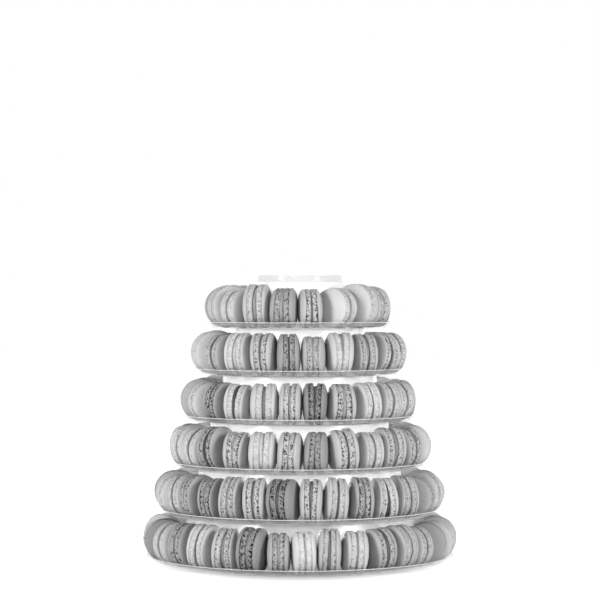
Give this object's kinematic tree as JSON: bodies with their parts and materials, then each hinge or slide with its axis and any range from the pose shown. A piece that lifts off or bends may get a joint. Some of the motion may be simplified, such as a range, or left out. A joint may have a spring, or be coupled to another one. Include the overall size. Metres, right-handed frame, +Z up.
{
  "type": "macaron tower",
  "caption": "Macaron tower: clear stacking trays that shrink towards the top, each with a ring of macarons standing on edge in its trough.",
  "frame": {"origin": "on the surface that the tower stands on, under its centre line", "axes": "+Z up, -Y towards the pictured front, +X to the right seen from the front"},
  "size_m": [0.3361, 0.3372, 0.3026],
  "materials": {
    "clear_sheet": "clear formed plastic sheet, glossy, slightly milky on the drums",
    "macaron_shell": "smooth matte baked shell over a ruffled pitted foot, in neutral grey tones as in the black-and-white photo",
    "macaron_filling": "soft satin cream, light on most and dark on some"
  },
  "bodies": {
    "root": {"tray_tier_1": "clear_sheet", "tray_tier_2": "clear_sheet", "tray_tier_3": "clear_sheet", "tray_tier_4": "clear_sheet", "tray_tier_5": "clear_sheet", "tray_tier_6": "clear_sheet", "macarons_tier_1": "macaron_shell", "macarons_tier_2": "macaron_shell", "macarons_tier_3": "macaron_shell", "macarons_tier_4": "macaron_shell", "macarons_tier_5": "macaron_shell", "macarons_tier_6": "macaron_shell"}
  },
  "joints": []
}
